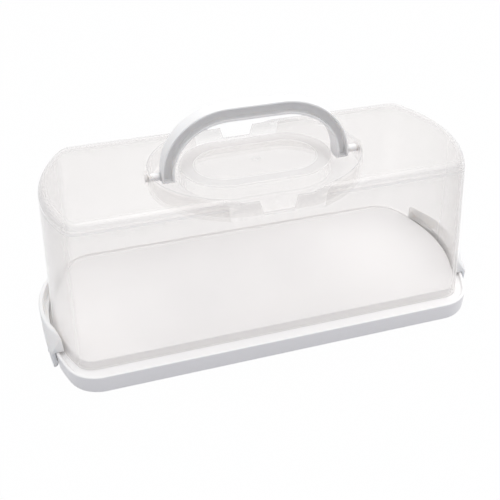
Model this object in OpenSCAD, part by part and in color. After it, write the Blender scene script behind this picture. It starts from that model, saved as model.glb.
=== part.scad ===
// Long cake carrier: a frosted lift-off cover on a white tray, held by a cup-shaped latch
// at each short end, with a bail handle that folds down into a moat in the cover's top.
// X runs along the carrier, the front is -Y, and the origin is at the middle of the tray's
// foot, on the surface that the carrier stands on.

/* [Tray] */
// Length of the carrier over both latches
overall_l = 365; // [355:1:375]
// Depth of the tray, front to back
tray_w = 160; // [156:1:170]
// Radius of the tray's bowed ends
tray_end_r = 145; // [138:1:155]
// Radius of the tray's corners
tray_corner_r = 29; // [24:1:34]
// Height of the ledge that the cover's foot stands on
ledge_z = 12.5; // [12:0.5:15]
// Height of the rim above the ledge
rim_h = 2.5; // [1.5:0.5:4]
// Width of the rim
rim_w = 2.4; // [2:0.2:4]
// Wall of the tray
tray_t = 2; // [1.6:0.1:2.4]
// Height of the raised platform above the ledge
platform_h = 7; // [4:0.5:9]
// Thickness of the ribs under the platform
rib_t = 1.6; // [1.2:0.2:2.4]
// Number of cross ribs under the platform
rib_count = 5; // [3:2:9]
// Gap between the ribs' lower edges and the surface below
rib_lift = 3; // [1:0.5:5]

/* [Cover] */
// Distance from the tray's bowed ends in to the cover's foot
foot_end_in = 5; // [4:0.5:7]
// Distance from the tray's long sides in to the cover's foot
foot_side_in = 10.75; // [9.5:0.25:13]
// Radius of the cover's bowed ends at the foot
foot_end_r = 118; // [112:1:126]
// Radius of the cover's corners at the foot
foot_corner_r = 17; // [12:1:22]
// How far each end of the cover leans in from its foot to the top of its walls
end_draft = 13; // [8:0.5:17]
// How far each long side of the cover leans in
side_draft = 8.25; // [6:0.25:9]
// Radius of the cover's bowed ends at the top of its walls
top_end_r = 108; // [102:1:116]
// Radius of the cover's corners at the top of its walls
top_corner_r = 13; // [10:1:16]
// Height of the cover's top
cover_top_z = 135; // [130:1:145]
// Radius of the rounded edge round the cover's top
top_edge_r = 6; // [4:0.5:8]
// Wall of the cover
cover_t = 1.8; // [1.4:0.1:2.2]
// Height of the catch rib above the cover's foot
catch_lift = 3; // [2:0.5:4]
// Depth of the catch rib at each end of the cover
catch_out = 1.2; // [0.8:0.1:1.8]
// Length of the catch rib
catch_l = 44; // [30:1:60]
// Height of the catch rib
catch_h = 2; // [1.5:0.5:3]

/* [Moat in the cover's top] */
// Length of the moat's oval
moat_l = 164; // [162:1:168]
// Depth of the moat's oval, wider than the cover's top
moat_w = 126.5; // [124:0.5:130]
// Height of the lip left in front of and behind the moat
lip_z = 131.5; // [129.5:0.5:132.5]
// Length of the island inside the moat
island_l = 119; // [112:1:120]
// Depth of the island inside the moat
island_w = 72; // [66:1:73]
// How far the island's edge lies below the cover's top
island_drop = 2.5; // [2:0.5:6]
// Width of the sloping border round the island
border_w = 11.5; // [8:0.5:14]
// Flat edge left round the outside of that border
border_edge = 1.2; // [0.8:0.2:2]
// How far the island's middle lies below its edge
dish_h = 1; // [0.6:0.1:2]
// Width of the finger notches at the lip's edge
notch_w = 28; // [24:1:34]
// Width of the finger notches at their foot
notch_foot_w = 23; // [18:1:26]
// Height of the notches' foot above the moat's floor
notch_lift = 2; // [0.5:0.5:3]

/* [Handle] */
// Length of the handle over its legs
handle_l = 147; // [142:1:148]
// Height of the handle above its pivot
handle_rise = 48.5; // [45:0.5:50]
// Width of the handle from front to back
handle_w = 16; // [13:0.5:17]
// Thickness of the legs
leg_t = 9.5; // [8:0.5:10]
// Thickness of the grip
grip_t = 10.5; // [9:0.5:11]
// Length of the grip's straight top
grip_l = 40; // [30:1:50]
// How far the legs reach below the pivot
leg_drop = 4; // [3.5:0.5:5]
// Radius of the legs' rounded lower corners
leg_corner_r = 3; // [2:0.5:4]
// Wall round the groove in each face of the handle
flange_t = 1.7; // [1.4:0.1:2.2]
// Web between the handle's two grooves
web_t = 3; // [2:0.5:5]
// Height of the folded handle's face above the cover's top
fold_proud = 1.5; // [0:0.5:3]
// How far the handle leans back from upright where it is shown, in degrees
handle_lean = 4; // [0:1:8]
// Diameter of the handle's pivot pins
pivot_d = 6; // [5:0.5:7]
// Depth of the pivot bosses, measured from the moat's end wall
boss_h = 4; // [3:0.5:6]
// Wall of a pivot boss round its pin
boss_wall = 2.8; // [2:0.2:3.6]

/* [Latches] */
// Width of a latch at its foot
latch_w = 90; // [80:1:94]
// How far a latch's foot stands out from the tray's end
latch_out = 2.5; // [2:0.1:3]
// Height of a latch's lip
latch_top_z = 30.5; // [27:0.5:36]
// Radius of a latch's outer face at its foot, seen from above
latch_foot_r = 180; // [150:5:240]
// Radius of a latch's lip, seen from above
latch_lip_r = 68; // [62:1:84]
// Wall of a latch
latch_t = 2.6; // [2:0.1:3]
// Thickness of a latch's lip
latch_lip_t = 3.2; // [2.6:0.1:4]
// Rounding of a latch's lip
latch_edge = 0.6; // [0.4:0.1:1]
// Height of a latch's hinge axis
hinge_z = 5.5; // [5.2:0.1:6]
// Distance from the tray's end in to the hinge axis
hinge_in = 2.5; // [2:0.1:3]
// Radius of a latch's hinge barrel
barrel_r = 4.6; // [4:0.1:4.8]
// Diameter of a latch's hinge pins
hinge_d = 3.2; // [2.8:0.1:3.6]
// Width of each hinge ear on the tray
ear_w = 4; // [3:0.5:5]
// Wall of a hinge ear round its pin
ear_wall = 1.3; // [1:0.1:1.6]
// How much narrower the mouth of an ear is than its pin, which snaps in
ear_snap = 0.6; // [0.3:0.1:0.9]
// Distance between the two hinge ears
ear_gap = 52; // [44:1:60]
// Length of a latch's hook, which closes up to the catch rib
hook_l = 30; // [20:1:40]
// Thickness of the hook
hook_t = 2.5; // [1.5:0.5:3]

/* [Clearances] */
// Gap under the cover's foot and between parts that lie side by side
seat_gap = 0.3; // [0.2:0.1:0.5]
// Gap between a latch and what it closes over
latch_gap = 0.5; // [0.4:0.1:0.7]
// Gap between the cover's wall and the platform inside it
locate_gap = 1; // [0.6:0.1:1.4]
// Gap all round a pivot pin
pin_gap = 0.08; // [0.05:0.01:0.1]
// Least gap between the handle and the moat's floor and island
fold_gap = 0.6; // [0.4:0.1:1]

/* [Hidden] */
$fn = 96;
// Thickness of a slice, and the least overlap between joined solids
eps = 0.01;
// How far a cut runs past the face that it opens
cut = 1;
// How far a pin or an ear is sunk into what it grows from
bury = 0.5;
// Steps in each round stretch of an outline
corner_steps = 8;
end_steps = 20;
oval_steps = 72;
edge_steps = 6;
bend_steps = 16;

// Colours
WHITE = [0.95, 0.95, 0.96];
FROSTED = [0.86, 0.87, 0.9, 0.5];
LATCH_WHITE = [0.93, 0.93, 0.94];

// Lengths and depths worked out from the driving dimensions
tray_l = overall_l - 2 * latch_out;
foot_l = tray_l - 2 * foot_end_in;
foot_w = tray_w - 2 * foot_side_in;
top_l = foot_l - 2 * end_draft;
top_w = foot_w - 2 * side_draft;

// Heights worked out from the driving dimensions
rim_z = ledge_z + rim_h;
platform_z = ledge_z + platform_h;
foot_z = ledge_z + seat_gap;
wall_top_z = cover_top_z - top_edge_r;
leg_sweep_r = norm([handle_w / 2 - leg_corner_r, leg_drop - leg_corner_r]) + leg_corner_r;
pivot_z = cover_top_z + fold_proud - handle_w / 2;
moat_z = pivot_z - max(leg_sweep_r, handle_w / 2) - fold_gap;
island_z = cover_top_z - island_drop;

// Hinge of a latch, and the round clearances about its axis
hinge_x = tray_l / 2 - hinge_in;
trough_r = barrel_r + latch_gap;
ear_r = hinge_d / 2 + ear_wall;
ear_mid = (ear_gap + ear_w) / 2;
latch_x = tray_l / 2 + latch_out;
lip_bow = latch_lip_r - sqrt(pow(latch_lip_r, 2) - pow(latch_w / 2, 2));
latch_back_x = latch_x - 2 * lip_bow;
plate_top_z = rim_z + latch_gap;

// Points on an arc about [cx, cy], from angle a to angle b
function arc(cx, cy, r, a, b, steps) =
    [for (i = [0 : steps]) let (t = a + (b - a) * i / steps) [cx + r * cos(t), cy + r * sin(t)]];

// One quarter of a bowed outline: half length l, half depth w, end radius R, corner radius r
function bowed_quarter(l, w, R, r) =
    let (cx = l - R,
         kx = cx + sqrt(pow(R - r, 2) - pow(w - r, 2)),
         a = atan2(w - r, kx - cx))
    concat(arc(cx, 0, R, 0, a, end_steps / 2), arc(kx, w - r, r, a, 90, corner_steps));

function reversed(p) = [for (i = [len(p) - 1 : -1 : 0]) p[i]];
function flipped(p, sx, sy) = [for (q = p) [sx * q[0], sy * q[1]]];

// A long outline with bowed ends, grown outward all round by grow
module bowed(l, w, R, r, grow = 0) {
    q = bowed_quarter(l / 2 + grow, w / 2 + grow, R + grow, max(r + grow, 0.5));
    polygon(concat(q, reversed(flipped(q, -1, 1)), flipped(q, -1, -1), reversed(flipped(q, 1, -1))));
}

module tray_outline(grow = 0) {
    bowed(tray_l, tray_w, tray_end_r, tray_corner_r, grow);
}

module foot_outline(grow = 0) {
    bowed(foot_l, foot_w, foot_end_r, foot_corner_r, grow);
}

module top_outline(grow = 0) {
    bowed(top_l, top_w, top_end_r, top_corner_r, grow);
}

// A thin slice of an outline, used as one step of a hull
module slice(z) {
    translate([0, 0, z]) linear_extrude(eps) children();
}

// An oval whose ends and sides run round in one even curve
module oval(l, w) {
    polygon([for (i = [0 : oval_steps - 1]) let (t = 360 * i / oval_steps)
        [l / 2 * cos(t), w / 2 * sin(t)]]);
}

// A straight-sided oval with half-round ends
module stadium(l, w) {
    for (s = [-1, 1]) translate([s * (l - w) / 2, 0]) circle(d = w);
    square([l - w, w], center = true);
}

// ---------------------------------------------------------------- base

module platform_outline(grow = 0) {
    foot_outline(grow - cover_t - locate_gap);
}

module base_body() {
    linear_extrude(rim_z) tray_outline();
    linear_extrude(platform_z) platform_outline();
}

module base_hollow() {
    difference() {
        union() {
            translate([0, 0, -cut]) linear_extrude(ledge_z - tray_t + cut) tray_outline(-tray_t);
            translate([0, 0, -cut]) linear_extrude(platform_z - tray_t + cut)
                platform_outline(-tray_t);
        }
        base_ribs();
        for (s = [-1, 1]) hinge_tube(s);
    }
}

// Ribs that stiffen the platform from below
module base_ribs() {
    rib_h = platform_z - tray_t - rib_lift + eps;
    translate([0, 0, rib_lift + rib_h / 2]) {
        cube([tray_l, rib_t, rib_h], center = true);
        for (i = [1 : rib_count])
            translate([tray_l * (i / (rib_count + 1) - 0.5), 0, 0])
                cube([rib_t, tray_w, rib_h], center = true);
    }
}

// Wall of the trough that a latch's barrel turns in
module hinge_tube(s) {
    translate([s * hinge_x, 0, hinge_z]) rotate([90, 0, 0])
        cylinder(r = trough_r + tray_t, h = latch_w + 2 * (latch_gap + tray_t), center = true);
}

// Trough open below and at the tray's end
module hinge_trough(s) {
    long = latch_w + 2 * latch_gap;
    out = hinge_in + cut;
    translate([s * hinge_x, 0, hinge_z]) {
        rotate([90, 0, 0]) cylinder(r = trough_r, h = long, center = true);
        translate([s * (out - trough_r) / 2, 0, -(hinge_z + cut) / 2])
            cube([out + trough_r, long, hinge_z + cut], center = true);
        translate([s * out / 2, 0, 0]) cube([out, long, 2 * trough_r], center = true);
    }
}

// An ear that holds a hinge pin, open below so that the pin snaps in
module hinge_ear(s, y) {
    root = trough_r + bury;
    difference() {
        translate([s * hinge_x, y, hinge_z]) {
            rotate([90, 0, 0]) cylinder(r = ear_r, h = ear_w, center = true);
            translate([-s * root / 2, 0, 0]) cube([root, ear_w, 2 * ear_r], center = true);
        }
        translate([s * hinge_x, y, hinge_z]) {
            rotate([90, 0, 0]) cylinder(d = hinge_d + 2 * pin_gap, h = ear_w + 2 * cut, center = true);
            translate([0, 0, -ear_r])
                cube([hinge_d - ear_snap, ear_w + 2 * cut, 2 * ear_r], center = true);
        }
    }
}

module base() {
    color(WHITE) {
        difference() {
            base_body();
            translate([0, 0, ledge_z]) linear_extrude(rim_h + cut) difference() {
                tray_outline(-rim_w);
                platform_outline();
            }
            base_hollow();
            for (s = [-1, 1]) hinge_trough(s);
        }
        for (s = [-1, 1]) for (y = [-ear_mid, ear_mid]) hinge_ear(s, y);
    }
}

// ---------------------------------------------------------------- cover

// Outer form of the cover: drafted walls and a rounded top edge
module cover_form() {
    hull() {
        slice(foot_z) foot_outline();
        for (i = [0 : edge_steps]) let (a = 90 * i / edge_steps)
            slice(wall_top_z + top_edge_r * sin(a) - eps) top_outline(-top_edge_r * (1 - cos(a)));
    }
}

// Inner form of the cover's walls, carried straight up past the top where it says so
module wall_form(top) {
    lean = end_draft / (wall_top_z - foot_z);
    hull() {
        slice(foot_z - cut) foot_outline(-cover_t + lean * cut);
        slice(wall_top_z) top_outline(-cover_t);
        if (top > wall_top_z) slice(top) top_outline(-cover_t - lean * (top - wall_top_z));
    }
}

// Room inside the cover, under a top that follows the rounded edge
module cover_room() {
    intersection() {
        wall_form(wall_top_z);
        translate([0, 0, foot_z - cut]) linear_extrude(wall_top_z - foot_z + cut) foot_outline(cut);
    }
    hull() {
        slice(wall_top_z - eps) top_outline(-cover_t);
        slice(cover_top_z - cover_t - eps) top_outline(-top_edge_r);
    }
}

// The moat's walls, floor and island, as a solid that hangs from the cover's top
module moat_block() {
    translate([0, 0, moat_z - cover_t]) linear_extrude(cover_top_z - moat_z)
        oval(moat_l + 2 * cover_t, moat_w + 2 * cover_t);
    for (s = [-1, 1]) translate([s * (moat_l / 2 + boss_h / 2), 0, pivot_z]) rotate([0, 90, 0])
        cylinder(d = pivot_d + 2 * boss_wall, h = boss_h, center = true);
}

// Hollow under the island
module island_hollow() {
    under = moat_z - cover_t - cut;
    translate([0, 0, under]) linear_extrude(island_z - dish_h - cover_t - under)
        stadium(island_l - 2 * cover_t, island_w - 2 * cover_t);
}

module moat() {
    difference() {
        union() {
            intersection() {
                translate([0, 0, moat_z]) linear_extrude(lip_z - moat_z) oval(moat_l, moat_w);
                wall_form(cover_top_z + cut);
            }
            translate([0, 0, lip_z - eps]) linear_extrude(cover_top_z - lip_z + cut)
                oval(moat_l, moat_w);
        }
        translate([0, 0, moat_z - cut]) linear_extrude(island_z - moat_z + cut)
            stadium(island_l, island_w);
    }
    island_dish();
}

// The island's shallow dish: its flat middle inside a sloping border, carried on past its edge
module island_dish() {
    past = 2 * (border_w - 2 * border_edge);
    hull() {
        slice(island_z - dish_h) stadium(island_l - 2 * border_w, island_w - 2 * border_w);
        slice(island_z + dish_h) stadium(island_l + past, island_w + past);
    }
}

// Tapered notch through the lip, for fingers that lift the folded handle
module finger_notch(s) {
    foot = moat_z + notch_lift;
    taper = (notch_w - notch_foot_w) / 2 / (lip_z - foot);
    above = cover_top_z + cut;
    depth = 10 * cover_t;
    translate([0, s * top_w / 2, 0]) rotate([90, 0, 0]) linear_extrude(depth, center = true)
        polygon([[-notch_foot_w / 2, foot], [notch_foot_w / 2, foot],
            [notch_foot_w / 2 + taper * (above - foot), above],
            [-notch_foot_w / 2 - taper * (above - foot), above]]);
}

// Rib on the cover's end that a latch's hook sits over
module catch_rib(s) {
    bed = 6 * cover_t;
    intersection() {
        translate([0, 0, foot_z + catch_lift]) linear_extrude(catch_h) foot_outline(catch_out);
        translate([s * foot_l / 2, 0, foot_z + catch_lift])
            cube([2 * bed, catch_l, 4 * catch_h], center = true);
    }
}

module cover() {
    bore_h = boss_h + 2 * cover_t;
    color(FROSTED) difference() {
        union() {
            cover_form();
            for (s = [-1, 1]) catch_rib(s);
        }
        difference() {
            cover_room();
            moat_block();
        }
        island_hollow();
        moat();
        for (s = [-1, 1]) finger_notch(s);
        for (s = [-1, 1]) translate([s * (moat_l / 2 + boss_h), 0, pivot_z]) rotate([0, s * 90, 0])
            translate([0, 0, -bore_h]) cylinder(d = pivot_d + 2 * pin_gap, h = bore_h + cut);
    }
}

// ---------------------------------------------------------------- handle

// Half of an arch: a straight grip, an even bend and a leg, seen from the front
function arch_half(half_l, rise, grip, drop) =
    concat([[half_l, -drop]],
        [for (i = [0 : bend_steps]) let (t = 90 * i / bend_steps)
            [grip + (half_l - grip) * cos(t), rise * sin(t)]]);

module arch(half_l, rise, grip, drop) {
    p = arch_half(half_l, rise, grip, drop);
    polygon(concat(p, reversed(flipped(p, -1, 1))));
}

// The bent strip between two arches, both ending at the same drop
module strip(inset) {
    difference() {
        arch(handle_l / 2 - inset, handle_rise - inset, grip_l / 2, leg_drop - inset);
        arch(handle_l / 2 - leg_t + inset, handle_rise - grip_t + inset, grip_l / 2, leg_drop + cut);
    }
}

module along_y(depth) {
    rotate([90, 0, 0]) linear_extrude(depth, center = true) children();
}

// Room that the legs' rounded ends keep to, seen from the side
module leg_ends() {
    flat_w = handle_w - 2 * leg_corner_r;
    rotate([90, 0, 90]) linear_extrude(handle_l + 2 * cut, center = true) union() {
        for (s = [-1, 1]) translate([s * flat_w / 2, leg_corner_r - leg_drop]) circle(r = leg_corner_r);
        translate([-flat_w / 2, -leg_drop]) square([flat_w, leg_corner_r]);
        translate([-handle_w / 2, leg_corner_r - leg_drop])
            square([handle_w, handle_rise + leg_drop]);
    }
}

module handle() {
    groove = (handle_w - web_t) / 2;
    pin_from = handle_l / 2 - bury;
    pin_to = moat_l / 2 + boss_h - seat_gap;
    color(WHITE) translate([0, 0, pivot_z]) rotate([-handle_lean, 0, 0]) {
        intersection() {
            difference() {
                along_y(handle_w) strip(0);
                for (s = [-1, 1]) translate([0, s * (web_t + groove + cut) / 2, 0])
                    along_y(groove + cut) strip(flange_t);
            }
            leg_ends();
        }
        for (s = [-1, 1]) translate([s * (pin_from + pin_to) / 2, 0, 0]) rotate([0, 90, 0])
            cylinder(d = pivot_d, h = pin_to - pin_from, center = true);
    }
}

// ---------------------------------------------------------------- latches

// Outline of a latch's outer face, seen from above: an arc of radius r out to x, half width w,
// closed well inside the tray
function latch_outline(x, w, r) =
    let (a = asin(w / r))
    concat(arc(x - r, 0, r, -a, a, end_steps), [[latch_back_x, w], [latch_back_x, -w]]);

// Cup-shaped form of a latch, shrunk inward by inset at its foot and by lip_inset at its lip,
// whose edge is rounded by edge
module latch_form(top, inset = 0, lip_inset = 0, edge = 0) {
    half = latch_w / 2;
    lip_x = latch_x - lip_inset;
    lip_half = half - lip_inset;
    hull() {
        slice(hinge_z - barrel_r - cut)
            polygon(latch_outline(latch_x - inset, half - inset, latch_foot_r));
        slice(plate_top_z) polygon(latch_outline(latch_x - inset, half - inset, latch_foot_r));
        slice(top - 2 * edge - eps) polygon(latch_outline(lip_x, lip_half, latch_lip_r));
        if (edge > 0) slice(top - eps)
            polygon(latch_outline(lip_x - edge, lip_half - edge, latch_lip_r));
    }
}

// Space over a latch from height z up
module latch_above(z) {
    translate([latch_back_x, -latch_w / 2 - cut, z])
        cube([latch_x + cut - latch_back_x, latch_w + 2 * cut, latch_top_z]);
}

module latch_barrel() {
    translate([hinge_x, 0, hinge_z]) rotate([90, 0, 0])
        cylinder(r = barrel_r, h = latch_w + 2 * cut, center = true);
}

// Space that a closed latch leaves to the tray and to the cover on its way up
module latch_keep_out() {
    translate([0, 0, hinge_z]) linear_extrude(plate_top_z - hinge_z) tray_outline(latch_gap);
    translate([0, 0, hinge_z - cut]) linear_extrude(latch_top_z) foot_outline(seat_gap + latch_gap);
    translate([0, 0, -cut]) linear_extrude(latch_top_z) intersection() {
        foot_outline(catch_out + seat_gap);
        square([tray_l, catch_l + 2 * cut], center = true);
    }
}

// Lower edge of a latch, rounded about the hinge axis so that it clears the table as it turns
module latch_foot() {
    intersection() {
        latch_form(latch_top_z, edge = latch_edge);
        union() {
            latch_barrel();
            latch_above(hinge_z);
        }
    }
}

// Hollow of the cup, over a floor that bridges the tray's rim
module latch_cup() {
    intersection() {
        latch_form(latch_top_z + cut, latch_t, latch_lip_t);
        latch_above(plate_top_z + latch_t);
    }
}

// Hook inside the cup, level with the top of the cover's catch rib
module latch_hook() {
    intersection() {
        translate([foot_l / 2 - cut, -hook_l / 2, foot_z + catch_lift + catch_h + latch_gap])
            cube([latch_x + cut - foot_l / 2, hook_l, hook_t]);
        latch_form(latch_top_z);
    }
}

module latch() {
    difference() {
        union() {
            difference() {
                latch_foot();
                latch_cup();
            }
            latch_hook();
        }
        difference() {
            latch_keep_out();
            latch_barrel();
        }
        for (y = [-ear_mid, ear_mid]) translate([hinge_x, y, hinge_z]) rotate([90, 0, 0])
            cylinder(r = trough_r, h = ear_w + 2 * seat_gap, center = true);
    }
    for (y = [-ear_mid, ear_mid]) translate([hinge_x, y, hinge_z]) rotate([90, 0, 0])
        cylinder(d = hinge_d, h = ear_w + 2 * seat_gap + 2 * bury, center = true);
}

module latch_right() {
    color(LATCH_WHITE) latch();
}

module latch_left() {
    color(LATCH_WHITE) mirror([1, 0, 0]) latch();
}

base();
cover();
handle();
latch_left();
latch_right();
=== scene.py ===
"""Looks of a long cake carrier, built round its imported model.

A white tray with a raised platform, a frosted lift-off cover with an oval moat in its top, a
bail handle that folds into that moat, and a cup-shaped latch at each end. Sizes are in
millimetres and are turned to metres when a mesh is made; X runs along the carrier, the front
is -Y and +Z is up.
"""

from __future__ import annotations

import logging
import math
from dataclasses import dataclass, field
from enum import Enum

import bmesh
import bpy
import numpy as np
from bpy.types import Material, Node, NodeSocket, NodeTree, Object
from mathutils import Matrix, Vector


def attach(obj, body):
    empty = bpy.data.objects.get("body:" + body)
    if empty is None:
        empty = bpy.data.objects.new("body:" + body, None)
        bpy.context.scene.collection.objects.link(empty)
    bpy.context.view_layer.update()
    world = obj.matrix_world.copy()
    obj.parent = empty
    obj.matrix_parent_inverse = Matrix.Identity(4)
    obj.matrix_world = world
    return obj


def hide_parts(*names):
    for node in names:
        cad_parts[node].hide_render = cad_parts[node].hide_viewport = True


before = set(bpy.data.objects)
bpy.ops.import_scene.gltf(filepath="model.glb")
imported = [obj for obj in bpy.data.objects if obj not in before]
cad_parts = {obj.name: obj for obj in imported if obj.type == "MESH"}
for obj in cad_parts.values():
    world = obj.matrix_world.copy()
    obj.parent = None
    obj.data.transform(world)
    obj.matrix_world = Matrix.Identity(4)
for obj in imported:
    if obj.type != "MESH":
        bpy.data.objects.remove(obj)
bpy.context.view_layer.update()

MM = 0.001  # metres in a millimetre
MERGE_MM = 0.004  # points closer than this become one
SMOOTH_DEG = 38.0  # an edge sharper than this stays sharp
PAINTED_LIGHT_MARK = "glint"  # painted light on the cover: above 0 a painted highlight, below 0 painted shade
HAZE = "haze"  # mark on the cover: what multiplies the milk in its skin
LOG = logging.getLogger("cake_carrier")
Pair = tuple[float, float]
Triple = tuple[float, float, float]


class End(Enum):
    """The two ends of the carrier, by the sign of X."""

    RIGHT = 1
    LEFT = -1


class Cut(Enum):
    """What one solid does to another."""

    REMOVE = "DIFFERENCE"
    ADD = "UNION"
    KEEP = "INTERSECT"


# ---------------------------------------------------------------- meshes


def make_piece(name: str, verts: np.ndarray, faces: list[tuple[int, ...]],
               marks: dict[str, np.ndarray] | None = None) -> Object:
    """Makes a closed, smooth-shaded object from vertices in millimetres.

    Args:
        name: Name of the object.
        verts: Vertices, one row each, in millimetres.
        faces: Faces as tuples of vertex numbers.
        marks: Numbers that the finish reads at each vertex, by name, or None.

    Returns:
        The new object, linked to the scene, at the origin.
    """
    mesh = bpy.data.meshes.new(name)
    mesh.from_pydata([tuple(v) for v in np.asarray(verts) * MM], [], faces)
    for mark, values in (marks or {}).items():
        mesh.attributes.new(mark, "FLOAT", "POINT").data.foreach_set("value", values)
    shell = bmesh.new()
    shell.from_mesh(mesh)
    bmesh.ops.remove_doubles(shell, verts=shell.verts, dist=MERGE_MM * MM)
    bmesh.ops.dissolve_degenerate(shell, dist=MERGE_MM * MM / 2, edges=shell.edges)
    bmesh.ops.recalc_face_normals(shell, faces=shell.faces)
    shell.to_mesh(mesh)
    shell.free()
    obj = bpy.data.objects.new(name, mesh)
    bpy.context.scene.collection.objects.link(obj)
    smooth(obj)
    return obj


def smooth(obj: Object) -> None:
    """Shades an object smooth, apart from its sharp edges."""
    obj.data.shade_smooth()
    obj.data.set_sharp_from_angle(angle=math.radians(SMOOTH_DEG))


def skin(rows: np.ndarray) -> list[tuple[int, ...]]:
    """Lists the faces of a closed skin over rings of equal length, with a cap at each end.

    Args:
        rows: Rings of points, shaped (rings, points, 3).

    Returns:
        Faces as tuples of numbers into the flattened points.
    """
    rings, count = rows.shape[:2]
    last = (rings - 1) * count
    faces: list[tuple[int, ...]] = [tuple(range(count)), tuple(range(last, last + count))]
    for i in range(rings - 1):
        for j in range(count):
            k = (j + 1) % count
            faces.append((i * count + j, i * count + k, (i + 1) * count + k, (i + 1) * count + j))
    return faces


def loft(name: str, rows: list[np.ndarray], marks: dict[str, list[np.ndarray]] | None = None) -> Object:
    """Makes a closed solid over a list of rings, each shaped (points, 3), with marks for its points."""
    stack = np.stack(rows)
    flat = {mark: np.concatenate(rings) for mark, rings in (marks or {}).items()}
    return make_piece(name, stack.reshape(-1, 3), skin(stack), flat)


def box(name: str, low: Triple, high: Triple) -> Object:
    """Makes a plain block between two corners, the two x in either order, as a cutter or a core."""
    x0, x1 = sorted((low[0], high[0]))
    plan = [(x0, low[1]), (x1, low[1]), (x1, high[1]), (x0, high[1])]
    return loft(name, [np.array([(x, y, z) for x, y in plan]) for z in (low[2], high[2])])


def turned(name: str, profile: list[Pair], axis: str, centre: Triple, steps: int = 48) -> Object:
    """Makes a solid of revolution.

    Args:
        name: Name of the object.
        profile: Points as (place along the axis, radius), from one end to the other.
        axis: "X" or "Y", the direction of the axis.
        centre: A point on the axis, from which places along it are counted.
        steps: Number of points round the axis.

    Returns:
        The new object.
    """
    angles = np.linspace(0, 2 * math.pi, steps, endpoint=False)
    rows = []
    for along, radius in profile:
        across, up = radius * np.cos(angles), radius * np.sin(angles)
        flat = np.full(steps, along)
        ring = (flat, across, up) if axis == "X" else (across, flat, up)
        rows.append(np.stack(ring, axis=1) + np.array(centre))
    return loft(name, rows)


def rod(name: str, radius: float, half: float, centre: Triple, steps: int = 64) -> Object:
    """Makes a plain round bar along Y, which reaches the same way to both sides of its centre."""
    return turned(name, [(-half, radius), (half, radius)], "Y", centre, steps)


def combine(target: Object, tool: Object, how: Cut) -> None:
    """Cuts, adds or keeps with a tool solid, and deletes the tool.

    Args:
        target: The object that is changed.
        tool: The solid that changes it.
        how: What the tool does.
    """
    mod = target.modifiers.new("cut", "BOOLEAN")
    mod.operation = how.value
    mod.solver = "EXACT"
    mod.object = tool
    bake(target)
    bpy.data.objects.remove(tool)


def bake(obj: Object) -> None:
    """Turns an object's modifiers into plain mesh, and removes them."""
    graph = bpy.context.evaluated_depsgraph_get()
    mesh = bpy.data.meshes.new_from_object(obj.evaluated_get(graph))
    obj.modifiers.clear()
    obj.data = mesh


def join(target: Object, others: list[Object]) -> None:
    """Joins closed solids into one object as separate shells, and deletes the others."""
    merged = bmesh.new()
    merged.from_mesh(target.data)
    for other in others:
        merged.from_mesh(other.data)
        bpy.data.objects.remove(other)
    merged.to_mesh(target.data)
    merged.free()


def tidy_shell(obj: Object) -> None:
    """Merges stray points left by cuts and shades the object again."""
    shell = bmesh.new()
    shell.from_mesh(obj.data)
    bmesh.ops.remove_doubles(shell, verts=shell.verts, dist=MERGE_MM * MM / 2)
    bmesh.ops.dissolve_degenerate(shell, dist=MERGE_MM * MM / 4, edges=shell.edges)
    shell.to_mesh(obj.data)
    shell.free()
    smooth(obj)


def even_normals(obj: Object) -> None:
    """Weights the shading by face area, so that flat faces stay flat beside their rounded edges."""
    mod = obj.modifiers.new("even_normals", "WEIGHTED_NORMAL")
    mod.keep_sharp = True
    mod.weight = 80


def quarter_arc(steps: int) -> np.ndarray:
    """Angles from 0 to 90 degrees in equal steps, without the first."""
    return np.linspace(0, math.pi / 2, steps + 1)[1:]


# ---------------------------------------------------------------- outlines


@dataclass(frozen=True)
class Columns:
    """Where the columns of a quarter outline stand.

    Attributes:
        end: Number of steps on the bowed end.
        corner: Number of steps on the corner.
        side: Places of the columns on the long side, largest x first and 0 last.
        fixed: Up to this x, a column stays at its place on every outline.
        reach: The x at which the side list was laid out to end.
    """

    end: int
    corner: int
    side: tuple[float, ...]
    fixed: float = 50.0
    reach: float = 136.0


@dataclass(frozen=True)
class Bowed:
    """A long outline with bowed ends, seen from above."""

    length: float
    depth: float
    end_r: float
    corner_r: float

    def quarter(self, columns: Columns) -> tuple[np.ndarray, np.ndarray]:
        """Places and outward directions of the columns of one quarter.

        Args:
            columns: Where the columns stand.

        Returns:
            Points and unit normals, each shaped (columns, 2), from (length / 2, 0) round to
            (0, depth / 2).
        """
        centre = self.length / 2 - self.end_r
        side_y = self.depth / 2 - self.corner_r
        corner_x = centre + math.sqrt((self.end_r - self.corner_r) ** 2 - side_y**2)
        bend = math.atan2(side_y, corner_x - centre)
        end = np.linspace(0, bend, columns.end + 1)
        corner = np.linspace(bend, math.pi / 2, columns.corner + 1)[1:]
        stretch = (corner_x - columns.fixed) / (columns.reach - columns.fixed)
        side = np.array([s if s <= columns.fixed else columns.fixed + (s - columns.fixed) * stretch
                         for s in columns.side])
        normals = np.concatenate([
            np.stack([np.cos(end), np.sin(end)], 1),
            np.stack([np.cos(corner), np.sin(corner)], 1),
            np.tile([0.0, 1.0], (len(side), 1)),
        ])
        points = np.concatenate([
            [centre, 0] + self.end_r * normals[: len(end)],
            [corner_x, side_y] + self.corner_r * normals[len(end): len(end) + len(corner)],
            np.stack([side, np.full(len(side), self.depth / 2)], 1),
        ])
        return points, normals

    def block(self, name: str, columns: Columns, grow: float, levels: Pair) -> Object:
        """Makes an upright block on the outline, grown outward by a distance, between two heights."""
        points, normals = self.quarter(columns)
        return loft(name, [whole(at_height(points + grow * normals, z)) for z in levels])


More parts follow.
